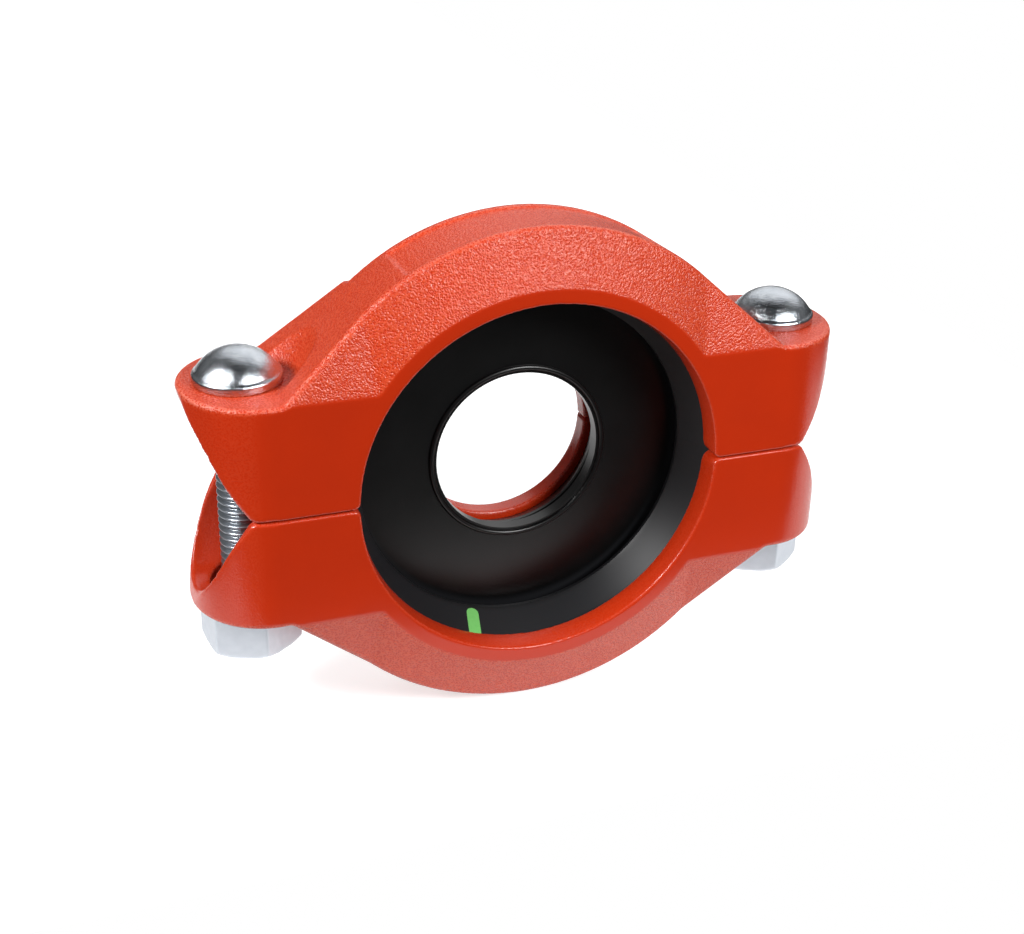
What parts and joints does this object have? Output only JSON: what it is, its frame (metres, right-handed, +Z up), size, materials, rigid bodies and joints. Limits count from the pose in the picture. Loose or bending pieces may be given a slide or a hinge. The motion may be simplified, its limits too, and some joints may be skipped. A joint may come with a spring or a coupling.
{
  "type": "grooved reducing coupling",
  "caption": "Grooved reducing coupling: a split enamelled housing with a rubber gasket, track bolts and hexagon nuts, joining a large pipe to a small one.",
  "frame": {"origin": "on the pipe axis, half way through the housing's width, in the split plane between the two halves", "axes": "+Z up from the lower half to the upper half, +X along the line through the two bolts, +Y along the pipe from the large pipe's side to the small pipe's side"},
  "size_m": [0.2058, 0.048, 0.1552],
  "materials": {
    "housing_enamel": "orange-red enamel on a ductile iron casting",
    "gasket_rubber": "black moulded rubber, satin",
    "ring_steel": "plain rolled steel",
    "bolt_zinc": "bright zinc plate on a forged steel bolt",
    "nut_zinc": "pale zinc plate on a steel nut"
  },
  "bodies": {
    "lower_half": {"lower_housing": "housing_enamel"},
    "upper_half": {"upper_housing": "housing_enamel"},
    "seal": {"gasket": "gasket_rubber", "stiffening_ring": "ring_steel"},
    "bolt_left": {"track_bolt_left": "bolt_zinc"},
    "bolt_right": {"track_bolt_right": "bolt_zinc"},
    "nut_left": {"hex_nut_left": "nut_zinc"},
    "nut_right": {"hex_nut_right": "nut_zinc"}
  },
  "joints": [
    {"name": "upper_half_lift", "type": "slide", "parent": "lower_half", "child": "upper_half", "axis": [0, 0, 1], "range_m": [0, 0.01385]},
    {"name": "bolt_left_rise", "type": "slide", "parent": "lower_half", "child": "bolt_left", "axis": [0, 0, 1], "range_m": [0, 0.01385]},
    {"name": "bolt_right_rise", "type": "slide", "parent": "lower_half", "child": "bolt_right", "axis": [0, 0, 1], "range_m": [0, 0.01385]},
    {"name": "gasket_rise", "type": "slide", "parent": "lower_half", "child": "seal", "axis": [0, 0, 1], "range_m": [0, 0.00692]},
    {"name": "nut_left_turn", "type": "hinge", "parent": "lower_half", "child": "nut_left", "pos_m": [-0.0854, 0, -0.0426], "axis": [0, 0, -1], "range_deg": [0, 2160]},
    {"name": "nut_right_turn", "type": "hinge", "parent": "lower_half", "child": "nut_right", "pos_m": [0.0854, 0, -0.0426], "axis": [0, 0, -1], "range_deg": [0, 2160]}
  ],
  "couplings": [
    {"joint": "bolt_left_rise", "follows": "upper_half_lift", "ratio": 1},
    {"joint": "bolt_right_rise", "follows": "upper_half_lift", "ratio": 1},
    {"joint": "gasket_rise", "follows": "upper_half_lift", "ratio": 0.5},
    {"joint": "nut_left_turn", "follows": "upper_half_lift", "rad_per_m": 2721.1},
    {"joint": "nut_right_turn", "follows": "upper_half_lift", "rad_per_m": 2721.1}
  ]
}
